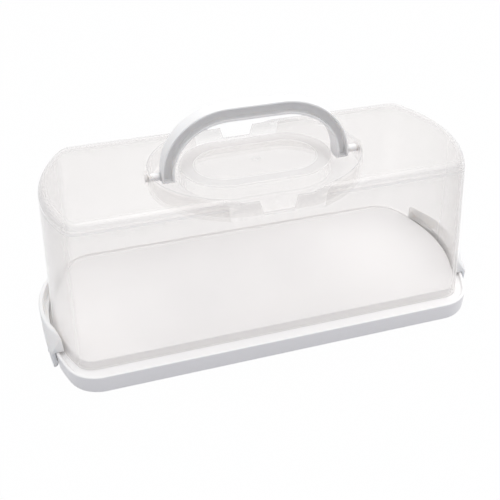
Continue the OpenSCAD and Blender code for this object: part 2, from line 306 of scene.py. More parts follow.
def whole(quarter: np.ndarray) -> np.ndarray:
    """Mirrors a quarter ring, shaped (columns, 3), into a whole one."""
    flip_x, flip_y = np.array([-1, 1, 1]), np.array([1, -1, 1])
    return np.concatenate([
        quarter,
        (quarter * flip_x)[-2::-1],
        (quarter * flip_x * flip_y)[1:],
        (quarter * flip_y)[-2:0:-1],
    ])


def whole_marks(quarter: np.ndarray) -> np.ndarray:
    """Mirrors one number for each column of a quarter ring onto the whole ring."""
    return np.concatenate([quarter, quarter[-2::-1], quarter[1:], quarter[-2:0:-1]])


def at_height(plan: np.ndarray, z: float | np.ndarray) -> np.ndarray:
    """Lifts plan points, shaped (columns, 2), to one height or to a height each."""
    return np.concatenate([plan, np.broadcast_to(z, (len(plan),))[:, None]], axis=1)


# ---------------------------------------------------------------- finishes


def wire(tree: NodeTree, kind: str, inputs: dict[str | int, object] | None = None,
         **settings: object) -> Node:
    """Adds a node to a tree, sets it up and feeds its inputs.

    Args:
        tree: The tree.
        kind: The node's type.
        inputs: What each input takes, by name or number: another node's socket, or a plain value.
        settings: The node's own settings, such as a Math node's operation.

    Returns:
        The new node.
    """
    node = tree.nodes.new(kind)
    for name, value in settings.items():
        setattr(node, name, value)
    return feed(tree, node, inputs or {})


def feed(tree: NodeTree, node: Node, inputs: dict[str | int, object]) -> Node:
    """Feeds a node's inputs, by name or number, from sockets or with plain values, and gives the node."""
    for name, value in inputs.items():
        if isinstance(value, NodeSocket):
            tree.links.new(value, node.inputs[name])
        else:
            node.inputs[name].default_value = value
    return node


def maths(tree: NodeTree, kind: str, first: NodeSocket, second: NodeSocket | float = 0.0) -> NodeSocket:
    """Adds one operation on two values, and gives its result."""
    return wire(tree, "ShaderNodeMath", {0: first, 1: second}, operation=kind).outputs[0]


def mixed(tree: NodeTree, share: NodeSocket | float, first: Node, second: Node) -> Node:
    """Mixes a share of a second shader into a first one, and gives the mix's node."""
    return wire(tree, "ShaderNodeMixShader", {0: share, 1: first.outputs[0], 2: second.outputs[0]})


@dataclass(frozen=True)
class Finish:
    """A moulded plastic: its colour, how far that drifts, and the fine grain of its surface.

    Attributes:
        name: Name of the material.
        slot: Name of a material slot; not used.
        tone: Main colour, linear.
        drift: Second colour, which shows in soft wide patches.
        rough: Least and greatest roughness.
        grain: Depth of the fine surface grain, in metres.
        patch_scale: Scale of the wide patches.
        grain_scale: Scale of the fine grain.
        glow: Share of light that soaks into a thin wall and out again.
    """

    name: str
    slot: str
    tone: Triple
    drift: Triple
    rough: Pair
    grain: float = 0.00002
    patch_scale: float = 14.0
    grain_scale: float = 900.0
    glow: float = 0.0

    def build(self) -> Material:
        """Builds the material's nodes.

        Returns:
            The material.
        """
        mat = bpy.data.materials.new(self.name)
        mat.use_nodes = True
        tree = mat.node_tree
        feed(tree, tree.nodes["Principled BSDF"], {
            "Base Color": self.tinted(tree), "Roughness": self.sheen(tree), "Normal": self.grained(tree),
            "IOR": 1.49, "Subsurface Weight": self.glow, "Subsurface Radius": (1.0, 0.95, 0.9),
            "Subsurface Scale": 0.004,
        })
        return mat

    def tinted(self, tree: NodeTree) -> NodeSocket:
        """Mixes the two colours in soft wide patches, and gives the mix's socket."""
        share = self.noise(tree, self.patch_scale, (0.0, 1.0))
        mix = wire(tree, "ShaderNodeMix", {"Factor": share, "A": (*self.tone, 1), "B": (*self.drift, 1)},
                   data_type="RGBA")
        return mix.outputs["Result"]

    def sheen(self, tree: NodeTree) -> NodeSocket:
        """Varies the roughness in patches, and gives its socket."""
        return self.noise(tree, self.patch_scale * 6, self.rough)

    def grained(self, tree: NodeTree) -> NodeSocket:
        """Adds the fine grain as a bump, and gives the bump's socket."""
        height = self.noise(tree, self.grain_scale, (0.0, 1.0))
        bump = wire(tree, "ShaderNodeBump", {"Strength": 0.35, "Distance": self.grain, "Height": height})
        return bump.outputs["Normal"]

    @staticmethod
    def noise(tree: NodeTree, scale: float, limits: Pair) -> NodeSocket:
        """Adds a noise that runs over a range of values.

        Args:
            tree: The material's tree.
            scale: Scale of the noise.
            limits: Least and greatest value.

        Returns:
            The socket that gives the value.
        """
        place = wire(tree, "ShaderNodeTexCoord").outputs["Object"]
        noise = wire(tree, "ShaderNodeTexNoise", {"Vector": place, "Scale": scale, "Detail": 3.0})
        low, high = limits
        spread = wire(tree, "ShaderNodeMapRange", {"Value": noise.outputs["Fac"], "From Min": 0.3,
                                                   "From Max": 0.7, "To Min": low, "To Max": high})
        return spread.outputs["Result"]


@dataclass(frozen=True)
class Frosted(Finish):
    """A see-through plastic with a little milk in it, and painted highlight and shade lines on its edges.

    Attributes:
        milk: Least and greatest share of light that one skin scatters, seen straight on.
        edge_milk: How much more it scatters where it is seen edge on.
        painted_light_milk: How much more it scatters where a painted highlight or shade line lies, so that
            its colour shows.
        gloss: Share of light that it mirrors, seen straight on.
        edge_gloss: How much more it mirrors where it is seen edge on.
        clear: What one skin lets through.
        painted_shade: Colour of the painted shade lines and bands on edges.
        painted_highlight: Colour of the painted highlight lines on edges.
    """

    milk: Pair = (0.042, 0.06)
    edge_milk: float = 0.55
    painted_light_milk: float = 0.55
    gloss: float = 0.04
    edge_gloss: float = 0.8
    clear: Triple = (0.993, 0.988, 0.986)
    painted_shade: Triple = (0.40, 0.40, 0.45)
    painted_highlight: Triple = (1.0, 1.0, 1.0)

    def build(self) -> Material:
        """Builds the material's nodes.

        Returns:
            The material.
        """
        mat = bpy.data.materials.new(self.name)
        mat.use_nodes = True
        tree = mat.node_tree
        tree.nodes.remove(tree.nodes["Principled BSDF"])
        glint = wire(tree, "ShaderNodeAttribute", attribute_name=PAINTED_LIGHT_MARK).outputs["Fac"]
        haze = wire(tree, "ShaderNodeAttribute", attribute_name=HAZE).outputs["Fac"]
        away = wire(tree, "ShaderNodeLayerWeight", {"Blend": 0.5}).outputs["Facing"]

        # Painted shade, then painted highlights, mixed into the plastic's colour where the painted-light
        # mark says
        colour = self.toned(tree, self.tinted(tree), self.painted_shade, maths(tree, "MULTIPLY", glint, -1.0))
        colour = self.toned(tree, colour, self.painted_highlight, glint)
        lit = wire(tree, "ShaderNodeBsdfDiffuse", {"Color": colour})
        through = wire(tree, "ShaderNodeBsdfTranslucent", {"Color": colour})
        clear = wire(tree, "ShaderNodeBsdfTransparent", {"Color": (*self.clear, 1)})
        shine = wire(tree, "ShaderNodeBsdfGlossy", {"Color": (1, 1, 1, 1), "Roughness": self.sheen(tree),
                                                    "Normal": self.grained(tree)})

        evenly = self.noise(tree, self.patch_scale, self.milk)
        milk = self.grown(tree, maths(tree, "POWER", away, 3.0), self.edge_milk, evenly)
        milk = maths(tree, "MULTIPLY", milk, haze)
        # Painted lines scatter more, so that their painted colour shows on the clear skin
        milk = self.grown(tree, maths(tree, "ABSOLUTE", glint), self.painted_light_milk, milk)
        gloss = self.grown(tree, maths(tree, "POWER", away, 5.0), self.edge_gloss, self.gloss)
        body = mixed(tree, milk, clear, mixed(tree, 0.5, lit, through))
        outside = mixed(tree, gloss, body, shine)
        feed(tree, tree.nodes["Material Output"], {"Surface": outside.outputs[0]})
        return mat

    @staticmethod
    def grown(tree: NodeTree, value: NodeSocket, gain: float, start: NodeSocket | float) -> NodeSocket:
        """Adds value times gain to a start, held between 0 and 1, and gives the result's socket."""
        step = wire(tree, "ShaderNodeMath", {0: value, 1: gain, 2: start}, operation="MULTIPLY_ADD",
                    use_clamp=True)
        return step.outputs[0]

    @staticmethod
    def toned(tree: NodeTree, colour: NodeSocket, other: Triple, share: NodeSocket) -> NodeSocket:
        """Mixes a share of another colour into a colour, and gives the mix's socket."""
        mix = wire(tree, "ShaderNodeMix", {"Factor": share, "A": colour, "B": (*other, 1)},
                   data_type="RGBA", clamp_factor=True)
        return mix.outputs["Result"]


WHITE_TRAY = Finish("white_tray_polypropylene", "white_plastic",
                    tone=(0.95, 0.946, 0.948), drift=(0.962, 0.957, 0.955), rough=(0.32, 0.42))
WHITE_HANDLE = Finish("white_handle_polypropylene", "white_plastic",
                      tone=(0.84, 0.838, 0.84), drift=(0.855, 0.852, 0.85), rough=(0.36, 0.46), glow=0.7)
WHITE_LATCH = Finish("white_latch_polypropylene", "latch_plastic",
                     tone=(0.92, 0.908, 0.893), drift=(0.935, 0.922, 0.908), rough=(0.30, 0.40), glow=1.0)
FROSTED = Frosted("frosted_polypropylene", "frosted_plastic",
                  tone=(0.92, 0.90, 0.89), drift=(0.93, 0.92, 0.915), rough=(0.29, 0.36), grain_scale=90.0)


def place_piece(obj: Object, body: str, finish: Finish, node: str | None,
                made: dict[str, Material]) -> None:
    """Gives a piece its finish, rides it on its body and hides the CAD node that it stands for.

    Args:
        obj: The piece.
        body: Body that it moves with.
        finish: Its finish.
        node: CAD node that it replaces, or None.
        made: Materials built so far, by name.
    """
    if finish.name not in made:
        made[finish.name] = finish.build()
    obj.data.materials.clear()
    obj.data.materials.append(made[finish.name])
    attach(obj, body)
    if node:
        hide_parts(node)
    LOG.info("%s: %d faces, rides on %s", obj.name, len(obj.data.polygons), body)


# ---------------------------------------------------------------- repeated parts


class Layout:
    """A Geometry Nodes tree that lays out copies of a part, with named inputs for its sizes."""

    def __init__(self, name: str, material: Material, parts: dict[str, Object],
                 sizes: dict[str, float], counts: dict[str, int]) -> None:
        """Starts a tree with its inputs.

        Args:
            name: Name of the tree.
            material: Material that the tree sets.
            parts: Objects that the tree copies, by the input's name.
            sizes: Sizes in metres, by the input's name.
            counts: Numbers of copies, by the input's name.
        """
        self.tree = bpy.data.node_groups.new(name, "GeometryNodeTree")
        self.values: dict[str, object] = {}
        for kind, inputs in (("Object", parts), ("Float", sizes), ("Int", counts),
                             ("Material", {"Material": material})):
            for label, value in inputs.items():
                socket = self.tree.interface.new_socket(label, in_out="INPUT",
                                                        socket_type=f"NodeSocket{kind}")
                self.values[socket.identifier] = value
        self.tree.interface.new_socket("Geometry", in_out="OUTPUT", socket_type="NodeSocketGeometry")
        self.given = self.tree.nodes.new("NodeGroupInput").outputs
        self.gather = self.tree.nodes.new("GeometryNodeJoinGeometry")

    def add(self, geometry: NodeSocket) -> None:
        """Adds one geometry to what the tree gives."""
        self.tree.links.new(geometry, self.gather.inputs["Geometry"])

    def vector(self, x: NodeSocket | float, y: NodeSocket | float, z: NodeSocket | float) -> NodeSocket:
        """Joins three values into a vector, and gives its socket."""
        return wire(self.tree, "ShaderNodeCombineXYZ", {"X": x, "Y": y, "Z": z}).outputs[0]

    def run(self, name: str) -> Object:
        """Ends the tree and runs it.

        Args:
            name: Name of the new object.

        Returns:
            The object, with all the copies as one plain mesh.
        """
        gathered = self.gather.outputs["Geometry"]
        solid = wire(self.tree, "GeometryNodeRealizeInstances", {"Geometry": gathered})
        painted = wire(self.tree, "GeometryNodeSetMaterial", {"Geometry": solid.outputs["Geometry"],
                                                              "Material": self.given["Material"]})
        wire(self.tree, "NodeGroupOutput", {"Geometry": painted.outputs["Geometry"]})
        holder = bpy.data.objects.new(name, bpy.data.meshes.new(name))
        bpy.context.scene.collection.objects.link(holder)
        mod = holder.modifiers.new(self.tree.name, "NODES")
        mod.node_group = self.tree
        for identifier, value in self.values.items():
            mod[identifier] = value
        holder.data.update()
        bake(holder)
        return holder


# ---------------------------------------------------------------- tray


@dataclass
class Tray:
    """The white tray: skirt, rim, ledge, raised platform, and the latch hinges under its ends."""

    outline: Bowed = Bowed(360, 160, 145, 29)
    platform: Bowed = Bowed(344.4, 132.9, 115.2, 14.2)
    platform_z: float = 19.5
    ledge_z: float = 12.5
    rim_z: float = 15.0
    rim_w: float = 2.4
    wall: float = 2.0
    soft: float = 0.9
    rim_cove: float = 1.6
    rib_t: float = 1.6
    rib_z: float = 3.0
    rib_count: int = 5
    hinge: Pair = (177.5, 5.5)
    trough_r: float = 5.1
    trough_l: float = 91.0
    ear_y: float = 28.0
    ear_w: float = 4.0
    ear_r: float = 2.9
    pin_bore_r: float = 1.68
    columns: Columns = field(default_factory=lambda: Columns(26, 16, (120, 90, 60, 30, 0)))

    def body(self) -> Object:
        """Builds the tray's shell as one closed skin from the platform round to its underside.

        Returns:
            The tray without its troughs and ribs.
        """
        tray, tray_n = self.outline.quarter(self.columns)
        top, top_n = self.platform.quarter(self.columns)
        rows: list[np.ndarray] = []

        def on(points: np.ndarray, normals: np.ndarray, grow: float, z: float) -> None:
            """Lays one ring on an outline, grown outward by a distance, at one height."""
            rows.append(whole(at_height(points + grow * normals, z)))

        s, cap = self.soft, 8
        on(top, top_n, -s - cap, self.platform_z)
        on(top, top_n, -s, self.platform_z)
        for a in quarter_arc(4):
            on(top, top_n, -s + s * math.sin(a), self.platform_z - s + s * math.cos(a))
        for a in quarter_arc(3):
            on(top, top_n, s - s * math.cos(a), self.ledge_z + s - s * math.sin(a))
        inner, cove = -self.rim_w, self.rim_cove
        on(tray, tray_n, inner - cove, self.ledge_z)
        for a in quarter_arc(5):
            on(tray, tray_n, inner - cove + cove * math.sin(a), self.ledge_z + cove - cove * math.cos(a))
        round_in = 0.8
        on(tray, tray_n, inner, self.rim_z - round_in)
        for a in quarter_arc(4):
            on(tray, tray_n, inner + round_in - round_in * math.cos(a),
               self.rim_z - round_in + round_in * math.sin(a))
        on(tray, tray_n, -s, self.rim_z)
        for a in quarter_arc(5):
            on(tray, tray_n, -s + s * math.sin(a), self.rim_z - s + s * math.cos(a))
        wall, foot = self.wall, 0.5
        under_ledge, under_top = self.ledge_z - wall, self.platform_z - wall
        for grow, z in ((0, foot), (-0.15, 0.12), (-foot, 0), (-wall + 0.4, 0), (-wall, 0.4),
                        (-wall, under_ledge - s), (-wall - s, under_ledge)):
            on(tray, tray_n, grow, z)
        for grow, z in ((-wall, under_ledge), (-wall, under_top - s), (-wall - s, under_top)):
            on(top, top_n, grow, z)
        return loft("tray", rows)

    def cut_trough(self, tray: Object, end: End) -> None:
        """Adds the trough's wall at one end and opens the trough below and outward.

        Args:
            tray: The tray.
            end: Which end.
        """
        hx, hz = self.hinge
        r, half, s = self.trough_r, self.trough_l / 2, end.value
        centre = (s * hx, 0, hz)
        tube = rod("tube", r + self.wall, half + self.wall, centre)
        combine(tube, self.outline.block("inside", self.columns, -0.4, (0, self.ledge_z - 0.5)), Cut.KEEP)
        combine(tray, tube, Cut.ADD)
        combine(tray, rod("trough", r, half, centre), Cut.REMOVE)
        past_x = s * (hx + 12)
        below = -8
        combine(tray, box("under", (s * (hx - r), -half, below), (past_x, half, hz)), Cut.REMOVE)
        combine(tray, box("out", (s * hx, -half, hz - 1), (past_x, half, hz + r)), Cut.REMOVE)

    def ear(self) -> Object:
        """Builds one hinge ear about the origin, with the pin's bore along Y and its root on -X."""
        mouth, root = 1.3, self.trough_r + 0.5
        open_a = math.asin(mouth / self.pin_bore_r)
        bore = np.linspace(-math.pi / 2 - open_a, -math.pi * 5 / 2 + open_a, 29)
        rim_a = math.asin(mouth / self.ear_r)
        rim = np.linspace(-math.pi / 2 + rim_a, math.pi / 2, 25)
        profile = [(-root, -self.ear_r), (-mouth, -self.ear_r)]
        profile += [(self.pin_bore_r * math.cos(a), self.pin_bore_r * math.sin(a)) for a in bore]
        profile += [(self.ear_r * math.cos(a), self.ear_r * math.sin(a)) for a in rim]
        profile += [(-root, self.ear_r)]
        half = self.ear_w / 2
        return loft("ear", [np.array([(x, y, z) for x, z in profile]) for y in (-half, half)])

    def ears(self, material: Material) -> Object:
        """Sets the four hinge ears in place with Geometry Nodes.

        Args:
            material: Material that the tree sets.

        Returns:
            One plain mesh object with the four ears.
        """
        ear = self.ear()
        hx, hz = self.hinge
        sizes = {"Hinge X": hx * MM, "Hinge Z": hz * MM, "Ear Y": self.ear_y * MM}
        layout = Layout("ear_rows", material, {"Ear": ear}, sizes, {})
        tree, given = layout.tree, layout.given
        one = wire(tree, "GeometryNodeObjectInfo", {"Object": given["Ear"], "As Instance": True})
        for end in End:
            x = maths(tree, "MULTIPLY", given["Hinge X"], float(end.value))
            front, back = (layout.vector(x, maths(tree, "MULTIPLY", given["Ear Y"], side), given["Hinge Z"])
                           for side in (-1.0, 1.0))
            pair = wire(tree, "GeometryNodeMeshLine", {"Count": 2, "Start Location": front, "Offset": back},
                        mode="END_POINTS")
            turn = (0, 0, 0 if end is End.RIGHT else math.pi)
            copies = wire(tree, "GeometryNodeInstanceOnPoints", {"Points": pair.outputs["Mesh"],
                                                                 "Instance": one.outputs["Geometry"],
                                                                 "Rotation": turn})
            layout.add(copies.outputs["Instances"])
        holder = layout.run("hinge_ears")
        bpy.data.objects.remove(ear)
        return holder

    def ribs(self, material: Material) -> Object:
        """Lays the stiffening ribs under the platform with Geometry Nodes.

        Args:
            material: Material that the tree sets.

        Returns:
            One plain mesh object with all the ribs.
        """
        spacing = self.outline.length / (self.rib_count + 1)
        layout = Layout("rib_rows", material, {}, {"Spacing": spacing * MM, "Thickness": self.rib_t * MM},
                        {"Count": self.rib_count})
        tree, given = layout.tree, layout.given
        first = maths(tree, "MULTIPLY", given["Spacing"], -(self.rib_count - 1) / 2)
        row = wire(tree, "GeometryNodeMeshLine", {"Count": given["Count"],
                                                  "Start Location": layout.vector(first, 0.0, 0.0),
                                                  "Offset": layout.vector(given["Spacing"], 0.0, 0.0)})
        sink = 0.5
        tall = self.platform_z - self.wall + sink
        low = self.ledge_z - self.wall + sink
        trough_to_trough = 2 * (self.hinge[0] - self.trough_r - 1)
        bars = ((True, self.platform.depth - 2, tall), (True, self.outline.depth - 2, low),
                (False, self.platform.length - 2, tall), (False, trough_to_trough, low))
        for crosswise, span, top in bars:
            height = (top - self.rib_z) * MM
            size = (layout.vector(given["Thickness"], span * MM, height) if crosswise
                    else layout.vector(span * MM, given["Thickness"], height))
            bar = wire(tree, "GeometryNodeMeshCube", {"Size": size})
            lift = wire(tree, "GeometryNodeTransform", {"Geometry": bar.outputs["Mesh"],
                                                        "Translation": (0, 0, (self.rib_z + top) / 2 * MM)})
            if crosswise:
                copies = wire(tree, "GeometryNodeInstanceOnPoints", {"Points": row.outputs["Mesh"],
                                                                     "Instance": lift.outputs["Geometry"]})
                layout.add(copies.outputs["Instances"])
            else:
                layout.add(lift.outputs["Geometry"])
        return layout.run("tray_ribs")

    def build(self, made: dict[str, Material]) -> None:
        """Builds and places the tray's pieces.

        Args:
            made: Materials built so far, by name.
        """
        tray = self.body()
        for end in End:
            self.cut_trough(tray, end)
        tidy_shell(tray)
        even_normals(tray)
        place_piece(tray, "base", WHITE_TRAY, "base", made)
        material = made[WHITE_TRAY.name]
        place_piece(self.ribs(material), "base", WHITE_TRAY, None, made)
        place_piece(self.ears(material), "base", WHITE_TRAY, None, made)


# ---------------------------------------------------------------- cover


@dataclass
class Rings:
    """Rings of a closed skin, laid one after another, with the painted light and the milk that the finish
    reads on each.

    Attributes:
        count: Number of columns in a quarter ring.
        rows: The rings laid so far.
        painted_lights: Painted light at each point: above 0 a painted highlight, below 0 painted shade.
        hazes: What multiplies the milk at each point.
    """

    count: int
    rows: list[np.ndarray] = field(default_factory=list)
    painted_lights: list[np.ndarray] = field(default_factory=list)
    hazes: list[np.ndarray] = field(default_factory=list)

    def put(self, ring: np.ndarray, glint: np.ndarray | float = 0.0, haze: np.ndarray | float = 1.0) -> None:
        """Lays one ring from its quarter, shaped (columns, 3)."""
        self.rows.append(whole(ring))
        self.painted_lights.append(whole_marks(np.broadcast_to(glint, (self.count,))))
        self.hazes.append(whole_marks(np.broadcast_to(haze, (self.count,))))

    def add(self, plan: np.ndarray, z: np.ndarray | float, glint: np.ndarray | float = 0.0,
            haze: np.ndarray | float = 1.0) -> None:
        """Lays one ring from its quarter plan, at one height or at a height each."""
        self.put(at_height(plan, z), glint, haze)

    def last(self) -> tuple[np.ndarray, np.ndarray]:
        """Gives the quarter of the ring laid last, and its painted light."""
        return self.rows[-1][: self.count].copy(), self.painted_lights[-1][: self.count].copy()

    def turn_over(self) -> None:
        """Reverses the rings, so that the next one follows the one laid first."""
        for rings in (self.rows, self.painted_lights, self.hazes):
            rings.reverse()

    def close(self, name: str) -> Object:
        """Makes the closed solid over the rings."""
        return loft(name, self.rows, {PAINTED_LIGHT_MARK: self.painted_lights, HAZE: self.hazes})


@dataclass
class CoverPlan:
    """Where the columns of the cover's skin stand, from the middle of its end to that of its side.

    Attributes:
        foot: Points on the foot's outline.
        foot_n: Outward directions there.
        top: Points on the top's outline.
        top_n: Outward directions there.
        along: Distance of each column along the flat top's edge.
        on_side: True on the long side.
        near: True where the moat's oval cuts the long edge.
        rim: Points on the moat's oval.
        lip: Height of the moat's outer lip.
        island_c: Centres of the island's round ends, or points on its middle line.
        island_n: Outward directions on the island.
    """

    foot: np.ndarray
    foot_n: np.ndarray
    top: np.ndarray
    top_n: np.ndarray
    along: np.ndarray
    on_side: np.ndarray
    near: np.ndarray
    rim: np.ndarray
    lip: np.ndarray
    island_c: np.ndarray = field(init=False)
    island_n: np.ndarray = field(init=False)

    @property
    def x(self) -> np.ndarray:
        """The x of each column on the top's outline."""
        return self.top[:, 0]


@dataclass
class Cover:
    """The frosted cover: drafted walls, a rounded top edge, and a moat round an island."""

    foot: Bowed = Bowed(350, 138.5, 118, 17)
    top: Bowed = Bowed(324, 122, 108, 13)
    foot_z: float = 12.8
    straight_z: float = 106.0
    wall_z: float = 129.0
    top_z: float = 135.0
    edge_r: float = 6.0
    wall: float = 1.8
    oval: Pair = (82.0, 63.25)
    moat_z: float = 119.8
    moat_r: float = 1.4
    lip_z: float = 131.5
    rim_r: float = 0.7
    notch_z: float = 121.8
    notch_foot: float = 11.5
    notch_top: float = 14.0
    island_flat: float = 23.5
    island_r: float = 36.0
    island_z: float = 132.5
    island_soft: float = 0.6
    border: float = 11.5
    border_edge: float = 1.2
    dish: float = 1.0
    catch_z: Pair = (15.8, 17.8)
    catch_out: float = 1.2
    catch_half: float = 22.0
    pivot_z: float = 128.5
    bore_r: float = 3.08
    boss_r: float = 5.8
    boss_h: float = 4.0
    # Painted light on the cover, read by the finish: above 0 a painted highlight line, below 0 a painted
    # shade line or band
    wall_painted_highlight: float = 0.7
    edge_painted_light: float = 1.0
    top_painted_highlight: float = 0.7
    band_painted_shade: float = -0.3
    rim_painted_shade: float = -0.55
    lip_painted_highlight: float = 0.55
    # Milk multipliers, not painted light
    moat_haze: float = 0.25
    thick_haze: float = 1.5
    # More painted light: painted shade at the island's foot and on its border, painted highlights on its
    # edges
    foot_painted_shade: float = -0.25
    island_painted_highlight: float = 0.6
    border_painted_shade: float = -0.3
    dish_painted_highlight: float = 0.7

    @property
    def half_top(self) -> float:
        """Half the depth of the top's outline."""
        return self.top.depth / 2

    @property
    def lip_angle(self) -> float:
        """Angle of the rounded top edge at the height of the moat's lip."""
        return math.asin((self.lip_z - self.wall_z) / self.edge_r)

    @property
    def lip_x(self) -> float:
        """Where the moat's oval meets the rounded edge at the lip's height."""
        return self.oval_x(self.half_top - self.edge_r * (1 - math.cos(self.lip_angle)))

    @property
    def top_x(self) -> float:
        """Where the moat's oval meets the flat top's edge."""
        return self.oval_x(self.half_top - self.edge_r)

    @property
    def wall_x(self) -> float:
        """Where the moat's oval meets the long wall's inner face."""
        return self.oval_x(self.half_top - self.wall)

    @property
    def under_x(self) -> float:
        """Where the outside of the moat's wall meets the long wall's inner face."""
        return self.oval_x(self.half_top - self.wall, self.wall)

    def oval_y(self, x: np.ndarray, grow: float = 0.0) -> np.ndarray:
        """Half depth of the moat's oval at x, grown outward by grow."""
        a, b = self.oval[0] + grow, self.oval[1] + grow
        return b * np.sqrt(np.maximum(0.0, 1 - (np.minimum(x, a) / a) ** 2))

    def oval_x(self, y: float, grow: float = 0.0) -> float:
        """Where the moat's oval, grown by grow, reaches the depth y."""
        a, b = self.oval[0] + grow, self.oval[1] + grow
        return a * math.sqrt(1 - (y / b) ** 2)

    def columns(self) -> Columns:
        """Chooses the columns, with one at each place where the moat's oval meets an edge."""
        edges = [self.lip_x, self.wall_x, self.top_x, self.under_x, self.under_x + 1.3, self.notch_foot,
                 self.notch_top]
        plain = [124, 116, 108, 100, 92, 85, 78, 72, 66, 61, 57, 53, 50, 48, 46, 44.5, 43, 38.5, 37, 32,
                 30.5, 27.5, 26, 22, 19, 16, 13.2, 12.3, 8, 4, 0]
        return Columns(22, 12, tuple(sorted(edges + plain, reverse=True)))

    def oval_ring(self, x: np.ndarray, along: np.ndarray, near: np.ndarray,
                  grow: float = 0.0) -> np.ndarray:
        """Finds the place of each column on the moat's oval.

        Args:
            x: The x of each column on the cover's top outline.
            along: Distance of each column along that outline.
            near: True for the columns that meet the oval at their own x.
            grow: How far the oval is grown outward.

        Returns:
            The points, shaped (columns, 2).
        """
        first = int(np.argmax(near))
        start = math.acos(x[first] / (self.oval[0] + grow))
        turn = start * np.clip(along / along[first], 0, 1)
        ring_x = np.where(near, x, (self.oval[0] + grow) * np.cos(turn))
        ring_y = np.where(near, self.oval_y(x, grow), (self.oval[1] + grow) * np.sin(turn))
        return np.stack([ring_x, ring_y], 1)

    def plan(self) -> CoverPlan:
        """Works out where every column stands.

        Returns:
            The plan of the cover's skin.
        """
        cols = self.columns()
        foot, foot_n = self.foot.quarter(cols)
        top, top_n = self.top.quarter(cols)
        x = top[:, 0]
        on_side = np.arange(len(x)) >= len(x) - len(cols.side)
        near = on_side & (x <= self.top_x + 1e-6)
        steps = np.linalg.norm(np.diff(top - self.edge_r * top_n, axis=0), axis=1)
        along = np.concatenate([[0], np.cumsum(steps)])
        rim = self.oval_ring(x, along, near)
        in_notch = np.clip((x - self.notch_foot) / (self.notch_top - self.notch_foot), 0, 1)
        slope = self.notch_z + in_notch * (self.lip_z - self.notch_z)
        lip = np.where(on_side & (in_notch < 1), slope, self.lip_z)
        plan = CoverPlan(foot, foot_n, top, top_n, along, on_side, near, rim, lip)

        # the island's foot follows the moat's columns by their share of its length
        arc = np.linalg.norm(np.diff(self.moat_wall(plan, self.moat_z), axis=0), axis=1)
        far = np.concatenate([np.cumsum(arc[::-1])[::-1], [0]])
        travel = far / far[0] * (self.island_flat + self.island_r * math.pi / 2)
        past = np.maximum(travel - self.island_flat, 0)
        turn = math.pi / 2 - past / self.island_r
        plan.island_n = np.stack([np.cos(turn), np.sin(turn)], 1)
        plan.island_c = np.stack([np.minimum(travel, self.island_flat), np.zeros(len(x))], 1)
        return plan

    def wall_at(self, plan: CoverPlan, z: np.ndarray | float, grow: float = 0.0) -> np.ndarray:
        """Points on the drafted wall at a height, grown outward by grow."""
        share = (np.asarray(z) - self.foot_z) / (self.wall_z - self.foot_z)
        share = np.broadcast_to(share, (len(plan.top),))[:, None]
        return (1 - share) * (plan.foot + grow * plan.foot_n) + share * (plan.top + grow * plan.top_n)

    def moat_wall(self, plan: CoverPlan, z: np.ndarray | float) -> np.ndarray:
        """Points on the moat's outer wall, which is the long wall's inner face where the two meet."""
        inner = self.wall_at(plan, z, -self.wall)[:, 1]
        y = np.where(plan.near, np.minimum(plan.rim[:, 1], inner), plan.rim[:, 1])
        return np.stack([plan.rim[:, 0], y], 1)

    def island(self, plan: CoverPlan, inset: float = 0.0) -> np.ndarray:
        """Points on the island's outline, drawn in by inset."""
        return plan.island_c + (self.island_r - inset) * plan.island_n

    def lay_outer_wall(self, rings: Rings, plan: CoverPlan) -> None:
        """Lays the outer wall from the foot up and round the top edge, with the catch rib on its ends.

        Args:
            rings: The rings, which are added to.
            plan: The plan of the skin.
        """
        end_y = np.where(plan.on_side, np.inf, np.abs(plan.top[:, 1]))
        fade = 0.8
        on_catch = np.clip((self.catch_half + fade - end_y) / fade, 0, 1)[:, None]
        catch = plan.foot + self.catch_out * plan.foot_n
        low, high = self.catch_z
        levels = [(self.foot_z + 0.35, 0), (low - 0.05, 0), (low, 0.8), (low + 0.3, 1.0), (high - 0.3, 1.0),
                  (high, 0.8), (high + 0.05, 0), (22, 0), (34, 0), (50, 0), (66, 0), (82, 0), (96, 0),
                  (self.straight_z, 0)]
        for z, share_out in levels:
            wall = self.wall_at(plan, z)
            rings.add(wall + on_catch * share_out * (catch - wall), z)

        # Painted light on the top edge: a painted shade band beside the moat, painted highlights at the
        # wall's top and in the notch, and a soft painted shade below them
        wall_end = np.minimum(self.wall_z, plan.lip)
        in_notch = wall_end < self.wall_z
        beside = np.clip((self.top_x - plan.x) / (self.top_x - self.wall_x), 0, 1) * plan.near
        painted_shade = self.band_painted_shade * beside
        line = np.where(in_notch, 0.6, (1 - beside) * self.wall_painted_highlight + painted_shade)
        soft_painted_shade = np.where(in_notch, 0.0, painted_shade - 0.12 * (1 - beside))
        for below, tone in ((15, 0), (8, 0.0), (4.5, soft_painted_shade * 0.6), (1.5, soft_painted_shade), (0.6, line),
                            (0, line)):
            z = wall_end - below
            rings.add(self.wall_at(plan, z), z, tone)

        turn = self.edge_turn(plan)
        whole_turn = turn > math.pi / 2 - 0.01
        base = np.where(in_notch[:, None], self.wall_at(plan, wall_end), plan.top)
        # Painted highlights at the rounding's two tangents, painted shade in its middle, and a painted
        # highlight on the lip
        painted_light_steps = (0.3, -0.2, -0.35, -0.4, -0.35, -0.2, 0.1, 0.35)
        for k, tone in enumerate(painted_light_steps, start=1):
            a = turn * k / len(painted_light_steps)
            inward = self.edge_r * (1 - np.cos(a))
            painted_band = (1 - beside) * tone * self.edge_painted_light + painted_shade
            at_lip = np.where(in_notch | (k == len(painted_light_steps)), self.lip_painted_highlight, painted_band)
            rings.add(base - inward[:, None] * plan.top_n, wall_end + self.edge_r * np.sin(a),
                      np.where(whole_turn, painted_band, at_lip))

